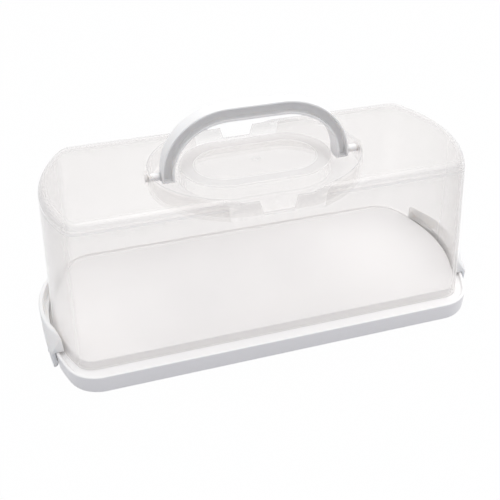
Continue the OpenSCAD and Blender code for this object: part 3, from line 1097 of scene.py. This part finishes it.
    def edge_turn(self, plan: CoverPlan) -> np.ndarray:
        """Angle through which the top edge is rounded, column by column.

        Args:
            plan: The plan of the skin.

        Returns:
            The angles, 0 where the notch cuts the edge away and a right angle at the flat top.
        """
        over = np.clip((plan.lip - self.wall_z) / self.edge_r, 0, 1)
        to_lip = np.where(plan.lip == self.lip_z, self.lip_angle, np.arcsin(over))
        meet = np.arccos(np.clip(1 - (self.half_top - self.oval_y(plan.x)) / self.edge_r, -1, 1))
        past_lip = np.where(plan.x > self.lip_x, np.maximum(meet, self.lip_angle), to_lip)
        return np.where(plan.near, past_lip, math.pi / 2)

    def lay_rim(self, rings: Rings, plan: CoverPlan) -> None:
        """Lays the flat top, the rounded rim of the moat, and the lip in front of it.

        Args:
            rings: The rings, which are added to.
            plan: The plan of the skin.
        """
        near, rim = plan.near, plan.rim
        rim_n = rim / np.square(self.oval)
        rim_n /= np.linalg.norm(rim_n, axis=1, keepdims=True)
        edge, last_painted_light = rings.last()

        def far_only(ring: np.ndarray, tone: float, haze: float = 1.0) -> None:
            """Lays a ring that stays on the last edge where the oval is near the long side."""
            rings.put(np.where(near[:, None], edge, ring), np.where(near, last_painted_light, tone), haze)

        flat = rim + (self.rim_r + 0.5) * rim_n
        gap = flat - edge[:, :2]
        step_in = gap / (np.linalg.norm(gap, axis=1, keepdims=True) + 1e-9)
        # A painted highlight just inside the flat top's edge
        far_only(at_height(edge[:, :2] + 0.5 * step_in, self.top_z), 0.8 * self.top_painted_highlight)
        far_only(at_height(edge[:, :2] + 1.1 * step_in, self.top_z), 0.0)
        far_only(at_height(flat, self.top_z), 0.0)
        # A painted shade line where the rim starts to round over, and a painted highlight lower down it
        painted_light_steps = (self.rim_painted_shade, self.rim_painted_shade, 0.0, self.lip_painted_highlight, self.lip_painted_highlight)
        for a, tone in zip(np.linspace(0, math.pi / 2, len(painted_light_steps)), painted_light_steps):
            out = rim + (self.rim_r * (1 - math.sin(a))) * rim_n
            far_only(at_height(out, self.top_z - self.rim_r * (1 - math.cos(a))), tone, 0.6)
        far_only(at_height(rim, self.top_z - self.rim_r - 0.6), 0.0, self.moat_haze)
        # A painted highlight on the lip where the oval cuts the long side
        on_rim = ~near | (near & (plan.x > self.lip_x))
        rings.put(np.where(on_rim[:, None], at_height(rim, self.lip_z), edge),
                  np.where(near, self.lip_painted_highlight, 0.0), self.moat_haze)

    def lay_moat(self, rings: Rings, plan: CoverPlan) -> None:
        """Lays the moat's outer wall, its floor, and the island's side.

        Args:
            rings: The rings, which are added to.
            plan: The plan of the skin.
        """
        r, z0, haze = self.moat_r, self.moat_z, self.moat_haze
        one_wall = np.where(plan.on_side & (plan.x <= self.under_x + 1e-6), self.thick_haze, haze)
        # A painted shade line at the top of the moat's wall where the oval cuts the long side
        rings.add(self.moat_wall(plan, plan.lip), plan.lip, np.where(plan.near, self.rim_painted_shade * 0.6, 0.0),
                  one_wall)
        drop = plan.lip - z0 - np.minimum(r, plan.lip - z0 - 0.4)
        for down in (np.minimum(0.6, drop * 0.3), drop * 0.5, drop):
            rings.add(self.moat_wall(plan, plan.lip - down), plan.lip - down, 0.0, one_wall)
        outer, inner = self.moat_wall(plan, z0), self.island(plan)
        inward = inner - outer
        inward /= np.linalg.norm(inward, axis=1, keepdims=True)
        for a in quarter_arc(4):
            rings.add(outer + r * (1 - math.cos(a)) * inward, z0 + r * (1 - math.sin(a)), 0.0, haze)
        # A painted shade line round the island's foot
        for a in quarter_arc(4)[::-1]:
            rings.add(self.island(plan, -r * (1 - math.cos(a))), z0 + r * (1 - math.sin(a)),
                      self.foot_painted_shade, haze)
        for z, tone in ((z0 + r, self.foot_painted_shade), (z0 + r + 0.8, 0.0),
                        (self.island_z - self.island_soft - 0.5, 0.0)):
            rings.add(inner, z, tone, haze)

    def lay_island(self, rings: Rings, plan: CoverPlan) -> None:
        """Lays the island's soft edge, its border and its dish with the gate mark.

        Args:
            rings: The rings, which are added to.
            plan: The plan of the skin.
        """
        soft, edge, top = self.island_soft, self.border_edge, self.island_z
        # A painted highlight on the island's soft edge
        rings.add(self.island(plan), top - soft, self.island_painted_highlight)
        for a in quarter_arc(3):
            rings.add(self.island(plan, soft * (1 - math.cos(a))), top - soft * (1 - math.sin(a)),
                      self.island_painted_highlight)
        floor = top - self.dish
        # Painted shade over the border, a painted highlight at the dish's edge
        for inset, z, tone in ((edge, top, self.border_painted_shade), (edge + 0.5, top - 0.05, self.border_painted_shade),
                               (self.border - 0.8, floor + 0.06, self.border_painted_shade),
                               (self.border - 0.3, floor, self.dish_painted_highlight),
                               (self.border + 0.3, floor, self.dish_painted_highlight), (self.border + 1.0, floor, 0.0)):
            rings.add(self.island(plan, inset), z, tone)
        around = self.island(plan)
        angle = np.arctan2(around[:, 1], around[:, 0])
        # A painted highlight on the gate ring
        for radius, lift, tone in ((4.0, 0.0, 0.0), (3.4, 0.0, 0.6), (3.1, 0.12, 0.6), (2.2, 0.12, 0.4),
                                   (1.9, -0.15, 0.0)):
            gate = np.stack([radius * np.cos(angle), radius * np.sin(angle)], 1)
            rings.add(gate, floor + lift, tone)

    def lay_inside(self, rings: Rings, plan: CoverPlan) -> None:
        """Lays the foot and the inner wall, then the underside of the top, the moat and the island.

        Args:
            rings: The rings, which are added to.
            plan: The plan of the skin.
        """
        rings.add(self.wall_at(plan, self.foot_z, -0.35), self.foot_z)
        rings.add(self.wall_at(plan, self.foot_z, -self.wall + 0.3), self.foot_z)
        under = self.moat_z - self.wall
        closed = plan.on_side & (plan.x <= self.under_x + 1e-6)
        wall_end = np.where(closed, under, self.wall_z)
        for z in (self.foot_z + 0.3, 22, 40, 60, 80, 96, self.straight_z):
            rings.add(self.wall_at(plan, z, -self.wall), z)
        for share in (0.5, 1.0):
            z = self.straight_z + share * (wall_end - self.straight_z)
            rings.add(self.wall_at(plan, z, -self.wall), z)

        inner_r = self.edge_r - self.wall
        room = self.half_top - self.wall - self.oval_y(plan.x, self.wall)
        meet = np.arccos(np.clip(1 - room / inner_r, -1, 1))
        beyond = plan.on_side & (plan.x <= self.oval_x(self.half_top - self.edge_r, self.wall))
        turn = np.where(closed, 0.0, np.where(beyond, meet, math.pi / 2))
        at_end = self.wall_at(plan, wall_end, -self.wall)
        steps = 5
        for k in range(1, steps + 1):
            a = turn * k / steps
            grow = -self.wall - inner_r * (1 - np.cos(a))
            rings.add(np.where(closed[:, None], at_end, plan.top + grow[:, None] * plan.top_n),
                      wall_end + inner_r * np.sin(a))

        edge = rings.last()[0]
        oval_out = self.oval_ring(plan.x, plan.along, beyond, self.wall)
        for stays, z in ((beyond, self.top_z - self.wall), (closed, under + 6), (closed, under)):
            rings.put(np.where(stays[:, None], edge, at_height(oval_out, z)), 0.0, self.moat_haze)
        roof = self.island_z - self.dish - self.wall
        rings.add(self.island(plan, self.wall), under, 0.0, self.moat_haze)
        rings.add(self.island(plan, self.wall), roof - 0.5, 0.0, self.moat_haze)
        rings.add(self.island(plan, self.wall + 0.5), roof)
        rings.add(self.island(plan, self.border), roof)

    def build_shell(self) -> Object:
        """Builds the cover as one closed skin, from the island's dish round to its underside.

        Returns:
            The cover without its pivot bores.
        """
        plan = self.plan()
        rings = Rings(len(plan.top))
        self.lay_outer_wall(rings, plan)
        self.lay_rim(rings, plan)
        self.lay_moat(rings, plan)
        self.lay_island(rings, plan)
        rings.turn_over()
        self.lay_inside(rings, plan)
        return rings.close("cover")

    def pivot_bore(self, start: float, stop: float) -> Object:
        """Builds the cutter for a pivot bore between two places along X."""
        return turned("bore", [(start, self.bore_r), (stop, self.bore_r)], "X", (0, 0, self.pivot_z))

    def boss(self, end: End) -> Object:
        """Builds the pivot boss behind one of the moat's end walls, with its bore.

        Args:
            end: Which end.

        Returns:
            The boss.
        """
        s = end.value
        start, stop = self.oval[0] + 0.6, self.oval[0] + self.boss_h
        profile = [(s * start, self.boss_r), (s * (stop - 0.5), self.boss_r), (s * stop, self.boss_r - 0.5)]
        boss = turned(f"boss_{end.name.lower()}", profile, "X", (0, 0, self.pivot_z))
        combine(boss, self.pivot_bore(s * (start - 1), s * (stop + 1)), Cut.REMOVE)
        return boss

    def build(self, made: dict[str, Material]) -> None:
        """Builds and places the cover.

        Args:
            made: Materials built so far, by name.
        """
        cover = self.build_shell()
        for end in End:
            s = end.value
            bore = self.pivot_bore(s * (self.oval[0] - 2), s * (self.oval[0] + self.boss_h + 1))
            combine(cover, bore, Cut.REMOVE)
        join(cover, [self.boss(end) for end in End])
        smooth(cover)
        even_normals(cover)
        place_piece(cover, "cover", FROSTED, "cover", made)


# ---------------------------------------------------------------- handle


@dataclass
class Handle:
    """The bail handle: a bent strip with a groove in its front and back faces, and two pins."""

    pivot_z: float = 128.5
    lean: float = 4.0
    half_l: float = 73.5
    rise: float = 48.5
    leg_t: float = 9.5
    grip_t: float = 10.5
    grip: float = 20.0
    drop: float = 4.0
    half_w: float = 8.0
    flange: float = 1.7
    web: float = 3.0
    corner_r: float = 3.0
    pin_r: float = 3.0
    pin_end: float = 85.7
    crown: float = 0.3
    soft: float = 0.45

    def section(self, thick: float, half: float, solid: float) -> np.ndarray:
        """Cross-section of the strip at one place.

        Args:
            thick: Thickness from the inner to the outer face.
            half: Half its width, front to back.
            solid: 0 where the grooves are open, 1 where they are filled.

        Returns:
            Points as (outward, front to back) from the middle of the strip, shaped (points, 2).
        """
        t, f, c = thick / 2, self.flange, self.soft
        inner = self.web / 2 + (half - self.web / 2 - 0.02) * solid
        r = min(0.7, (half - inner) * 0.8 + 0.001)
        bevel = 0.25
        lip = half - bevel * (1 - solid)
        low = t - self.crown
        side = [(low - c, half), (t - f + bevel, half), (t - f, lip), (t - f, inner + r),
                (t - f - 0.3 * r, inner + 0.3 * r), (t - f - r, inner), (-t + f + r, inner),
                (-t + f + 0.3 * r, inner + 0.3 * r), (-t + f, inner + r), (-t + f, lip),
                (-t + f - bevel, half), (-t + c, half), (-t + 0.3 * c, half - 0.3 * c), (-t, half - c)]
        top = [(low, half - c), (low - 0.3 * c, half - 0.3 * c)]
        across = np.linspace(-half + c + 0.6, half - c - 0.6, 9)
        crown = [(t - self.crown * (y / half) ** 2, y) for y in across]
        back = [(n, -y) for n, y in reversed(side)]
        return np.array(crown + top + side + back + [(n, -y) for n, y in reversed(top)])

    def path(self, share: float) -> tuple[np.ndarray, np.ndarray, float]:
        """Place on the arch.

        Args:
            share: Angle from 0 at the leg's pivot to pi at the other leg's.

        Returns:
            The middle of the strip, its outward direction, and its thickness.
        """
        side = math.copysign(1.0, math.cos(share)) if abs(math.cos(share)) > 1e-9 else 0.0
        outer = np.array([side * self.grip + (self.half_l - self.grip) * math.cos(share),
                          self.rise * math.sin(share)])
        inner_l = self.half_l - self.leg_t - self.grip
        inner = np.array([side * self.grip + inner_l * math.cos(share),
                          (self.rise - self.grip_t) * math.sin(share)])
        gap = outer - inner
        return (outer + inner) / 2, gap / np.linalg.norm(gap), float(np.linalg.norm(gap))

    def strip(self) -> Object:
        """Sweeps the section along the arch, with the legs' rounded, closed ends."""
        leg_x = self.half_l - self.leg_t / 2
        out = np.array([1.0, 0.0])

        def leg(up: float, inset: float, solid: float) -> tuple[np.ndarray, np.ndarray, float, float, float]:
            """Gives what ring needs at one height of the right leg."""
            return np.array([leg_x, up]), out, self.leg_t, self.half_w - inset, solid

        r = self.corner_r
        corner = [(r * (1 - math.sin(a)) - self.drop, r * (1 - math.cos(a)))
                  for a in np.linspace(math.pi / 2, 0, 7)]
        groove_end = -self.drop + self.flange
        inset = r - math.sqrt(r**2 - (r - self.flange) ** 2)
        right = [leg(up, inward, 1.0) for up, inward in corner if up < groove_end]
        right += [leg(groove_end, inset, 1.0), leg(groove_end, inset, 0.0)]
        right += [leg(up, inward, 0.0) for up, inward in corner if up > groove_end]
        right += [(*self.path(a), self.half_w, 0.0) for a in np.linspace(0, math.pi / 2 - 1e-6, 27)]
        left = [(place * [-1, 1], normal * [-1, 1], *sizes) for place, normal, *sizes in reversed(right)]
        return loft("handle", [self.ring(*stop) for stop in right + left])

    def ring(self, place: np.ndarray, normal: np.ndarray, thick: float, half: float,
             solid: float) -> np.ndarray:
        """Sets the section at one place of the strip.

        Args:
            place: Middle of the strip in the handle's own plane.
            normal: Outward direction there.
            thick: Thickness of the strip.
            half: Half its width.
            solid: 0 where the grooves are open, 1 where they are filled.

        Returns:
            The ring, shaped (points, 3).
        """
        section = self.section(thick, half, solid)
        flat = place + section[:, :1] * normal
        return np.stack([flat[:, 0], section[:, 1], flat[:, 1]], axis=1)

    def pin(self, end: End) -> list[Object]:
        """Builds the pivot pin at one end, and the collar round its root."""
        s, r, root = end.value, self.pin_r, self.half_l - 0.6
        collar_r, chamfer = r + 0.8, 0.6
        pin = [(s * root, r), (s * (self.pin_end - chamfer), r), (s * self.pin_end, r - chamfer)]
        collar = [(s * root, collar_r), (s * (self.half_l + 0.3), collar_r),
                  (s * (self.half_l + 0.8), collar_r - 0.5)]
        return [turned("pin", pin, "X", (0, 0, 0)), turned("collar", collar, "X", (0, 0, 0))]

    def build(self, made: dict[str, Material]) -> None:
        """Builds and places the handle with its pins.

        Args:
            made: Materials built so far, by name.
        """
        handle = self.strip()
        pins = [piece for end in End for piece in self.pin(end)]
        join(handle, pins)
        smooth(handle)
        lean = Matrix.Rotation(math.radians(-self.lean), 4, "X")
        handle.data.transform(Matrix.Translation((0, 0, self.pivot_z * MM)) @ lean)
        even_normals(handle)
        place_piece(handle, "handle", WHITE_HANDLE, "handle", made)


# ---------------------------------------------------------------- latches


@dataclass
class Latch:
    """A cup-shaped end latch that turns on pins under the tray's end."""

    end: End
    half_w: float = 45.0
    out_x: float = 182.5
    foot_r: float = 180.0
    lip_r: float = 68.0
    top_z: float = 30.5
    wall: float = 2.6
    lip_t: float = 3.2
    plate_z: float = 15.5
    hinge: Pair = (177.5, 5.5)
    barrel_r: float = 4.6
    pin_r: float = 1.6
    ear_y: float = 28.0
    slot_w: float = 4.6
    slot_r: float = 5.1
    hook: Triple = (15.0, 18.3, 20.8)
    back_x: float = 148.0
    corner_r: float = 1.6

    def plan(self, z: float, inset: float, lip_inset: float) -> np.ndarray:
        """Outline of the cup at one height.

        Args:
            z: Height.
            inset: How far the outline is drawn in at the foot.
            lip_inset: How far it is drawn in at the lip.

        Returns:
            The outline, shaped (points, 3), from the back of one cheek round to the other.
        """
        t = min(1.0, max(0.0, (z - self.plate_z) / (self.top_z - self.plate_z)))
        angles = np.concatenate([np.linspace(0, 0.62, 20), np.linspace(0.66, math.pi / 2, 9)])
        foot = self.support(self.foot_r, inset, angles)
        lip = self.support(self.lip_r, lip_inset, angles)
        points = (1 - t) * foot + t * lip
        points = np.concatenate([points, [[self.back_x, points[-1][1]]]])
        ring = np.concatenate([(points * [1, -1])[::-1], points[1:]])
        return at_height(ring, z)

    def support(self, radius: float, inset: float, angles: np.ndarray) -> np.ndarray:
        """Points of a bowed outline where it faces given directions, with rounded corners.

        Args:
            radius: Radius of the bow.
            inset: How far the outline is drawn in.
            angles: The directions, from 0 along X to a right angle.

        Returns:
            The points, shaped (angles, 2).
        """
        soft = max(self.corner_r - inset, 0.4)
        out, half = self.out_x - inset, self.half_w - inset
        side = half - soft
        bend = math.asin(side / (radius - soft))
        centre = out - radius
        corner_x = centre + (radius - soft) * math.cos(bend)
        normal = np.stack([np.cos(angles), np.sin(angles)], 1)
        on_bow = [centre, 0] + radius * normal
        on_corner = [corner_x, side] + soft * normal
        return np.where((angles < bend)[:, None], on_bow, on_corner)

    def form(self, name: str, top: float, inset: float = 0.0, lip_inset: float = 0.0,
             edge: float = 0.0, low: float = -0.5) -> Object:
        """Builds the cup's form, shrunk inward, as a closed solid.

        Args:
            name: Name of the object.
            top: Height of its top.
            inset: How far it is drawn in at the foot.
            lip_inset: How far it is drawn in at the lip.
            edge: Radius of the lip's rounded edge.
            low: Height of its lower face.

        Returns:
            The new object.
        """
        levels = [low, 6.0, 12.0] + list(np.linspace(self.plate_z, top - edge, 14))
        if low > 12:
            levels = list(np.linspace(low, top - edge, 12))
        rows = [self.plan(z, inset, lip_inset) for z in levels]
        for a in quarter_arc(5) if edge else []:
            rows.append(self.plan(top - edge + edge * math.sin(a), inset + edge * (1 - math.cos(a)),
                                  lip_inset + edge * (1 - math.cos(a))))
        return loft(name, rows)

    def keep_out(self, tray: Tray, cover: Cover) -> Object:
        """Builds the space that the closed latch leaves to the tray and the cover."""
        columns, gap, catch_gap, catch_half = Columns(40, 12, (90, 0)), 0.5, 1.5, 23
        hx, hz = self.hinge
        room = tray.outline.block("tray_room", columns, gap, (hz, self.plate_z))
        combine(room, cover.foot.block("cover_room", columns, gap, (hz + 1, 40)), Cut.ADD)
        catch = cover.foot.block("catch_room", columns, catch_gap, (11, 41))
        combine(catch, box("catch_span", (-200, -catch_half, -10), (200, catch_half, 60)), Cut.KEEP)
        combine(room, catch, Cut.ADD)
        combine(room, rod("barrel", self.barrel_r, self.half_w + 2, (hx, 0, hz)), Cut.REMOVE)
        return room

    def build(self, tray: Tray, cover: Cover, made: dict[str, Material]) -> None:
        """Builds and places the latch.

        Args:
            tray: The tray that it turns on.
            cover: The cover that it closes over.
            made: Materials built so far, by name.
        """
        hx, hz = self.hinge
        side = "right" if self.end is End.RIGHT else "left"
        far = self.half_w + 2
        latch = self.form(f"latch_{side}", self.top_z, edge=1.1)
        above = box("above", (self.back_x - 5, -far, hz), (self.out_x + 5, far, self.top_z + 5))
        combine(above, rod("barrel", self.barrel_r, far - 1, (hx, 0, hz)), Cut.ADD)
        combine(latch, above, Cut.KEEP)
        cup = self.form("cup", self.top_z + 1, self.wall, self.lip_t, low=self.plate_z + self.wall)
        combine(latch, cup, Cut.REMOVE)
        hook_y, hook_low, hook_high = self.hook
        hook_x = 170
        hook = box("hook", (hook_x, -hook_y, hook_low), (self.out_x - 2, hook_y, hook_high))
        combine(latch, hook, Cut.ADD)
        combine(latch, self.keep_out(tray, cover), Cut.REMOVE)
        half, root = self.slot_w / 2, 0.5
        for y in (-self.ear_y, self.ear_y):
            combine(latch, rod("slot", self.slot_r, half, (hx, y, hz), 48), Cut.REMOVE)
        tidy_shell(latch)
        pins = [rod("pin", self.pin_r, half + root, (hx, y, hz), 24) for y in (-self.ear_y, self.ear_y)]
        join(latch, pins)
        if self.end is End.LEFT:
            latch.data.transform(Matrix.Scale(-1, 4, (1, 0, 0)))
            latch.data.flip_normals()
        smooth(latch)
        even_normals(latch)
        place_piece(latch, f"latch_{side}", WHITE_LATCH, f"latch_{side}", made)


# ---------------------------------------------------------------- studio


@dataclass
class Studio:
    """Camera, pale floor and soft lights."""

    eye: Triple = (-114.455, -413.852, 362.758)
    right: Triple = (0.96382, -0.26593, -0.01796)
    down: Triple = (-0.17228, -0.57016, -0.80326)
    lens: float = 45.41
    sky: float = 0.752

    def camera(self) -> None:
        """Sets the camera at the photograph's viewing angle."""
        data = bpy.data.cameras.new("camera")
        data.lens = self.lens
        data.sensor_width = 36.0
        data.clip_start, data.clip_end = 0.02, 20.0
        cam = bpy.data.objects.new("camera", data)
        bpy.context.scene.collection.objects.link(cam)
        x = Vector(self.right).normalized()
        y = -Vector(self.down)
        y = (y - x * y.dot(x)).normalized()
        z = x.cross(y)
        turn = Matrix((x, y, z)).transposed().to_4x4()
        cam.matrix_world = Matrix.Translation(Vector(self.eye) * MM) @ turn
        bpy.context.scene.camera = cam

    def sky_light(self) -> None:
        """Lights the object with an even pale sky, which the camera sees as white."""
        world = bpy.data.worlds.new("sky")
        world.use_nodes = True
        bpy.context.scene.world = world
        tree = world.node_tree
        tree.nodes.clear()
        lit = wire(tree, "ShaderNodeBackground", {"Color": (0.98, 0.985, 1.0, 1), "Strength": self.sky})
        seen = wire(tree, "ShaderNodeBackground", {"Color": (1, 1, 1, 1), "Strength": 1.0})
        sky = mixed(tree, self.seen_rays(tree), lit, seen)
        wire(tree, "ShaderNodeOutputWorld", {"Surface": sky.outputs[0]})

    @staticmethod
    def seen_rays(tree: NodeTree) -> NodeSocket:
        """Adds the sum of the camera's, mirrored and transmitted rays to a tree, and gives its socket."""
        rays = wire(tree, "ShaderNodeLightPath").outputs
        total = rays["Is Camera Ray"]
        for kind in ("Is Glossy Ray", "Is Transmission Ray"):
            total = maths(tree, "MAXIMUM", total, rays[kind])
        return total

    def floor(self) -> None:
        """Lays a plain pale floor that keeps a soft shadow."""
        far = 4000
        plan = [(-far, -far), (far, -far), (far, far), (-far, far)]
        floor = make_piece("floor", np.array([(x, y, -0.02) for x, y in plan]), [(0, 1, 2, 3)])
        mat = bpy.data.materials.new("pale_floor")
        mat.use_nodes = True
        tree = mat.node_tree
        pale = feed(tree, tree.nodes["Principled BSDF"], {"Base Color": (0.36, 0.36, 0.405, 1),
                                                          "Roughness": 0.9, "Specular IOR Level": 0.1})
        glow = wire(tree, "ShaderNodeEmission", {"Color": (1, 1, 1, 1), "Strength": 1.015})
        amount = maths(tree, "MULTIPLY", self.seen_rays(tree), 0.97)
        surface = mixed(tree, amount, pale, glow).outputs[0]
        feed(tree, tree.nodes["Material Output"], {"Surface": surface})
        floor.data.materials.append(mat)

    def lamp(self, name: str, place: Triple, size: Pair, power: float, colour: Triple) -> None:
        """Hangs one soft box, aimed at the middle of the object.

        Args:
            name: Name of the lamp.
            place: Where it hangs, in metres.
            size: Width and height of its face, in metres.
            power: Power in watts.
            colour: Its colour.
        """
        data = bpy.data.lights.new(name, "AREA")
        data.shape = "RECTANGLE"
        data.size, data.size_y = size
        data.energy = power
        data.color = colour
        lamp = bpy.data.objects.new(name, data)
        bpy.context.scene.collection.objects.link(lamp)
        lamp.visible_camera = False
        lamp.location = place
        aim = Vector((0, 0, 0.07)) - Vector(place)
        lamp.rotation_mode = "QUATERNION"
        lamp.rotation_quaternion = aim.to_track_quat("-Z", "Y")

    def build(self) -> None:
        """Sets up the whole studio."""
        self.camera()
        self.sky_light()
        self.floor()
        self.lamp("key_box", (0.22, 0.15, 1.5), (1.4, 0.9), 11.4, (1.0, 0.99, 0.975))
        self.lamp("side_box", (1.4, 0.1, 0.3), (0.9, 0.5), 2.5, (1.0, 0.99, 0.985))
        bpy.context.scene.view_settings.view_transform = "Standard"


def main() -> None:
    """Builds the carrier's pieces and the studio, in order."""
    logging.basicConfig(level=logging.INFO, format="%(name)s: %(message)s")
    made: dict[str, Material] = {}
    Studio().build()
    tray, cover = Tray(), Cover()
    tray.build(made)
    cover.build(made)
    Handle().build(made)
    for end in End:
        Latch(end).build(tray, cover, made)
    bpy.context.view_layer.update()


if __name__ == "__main__":
    main()
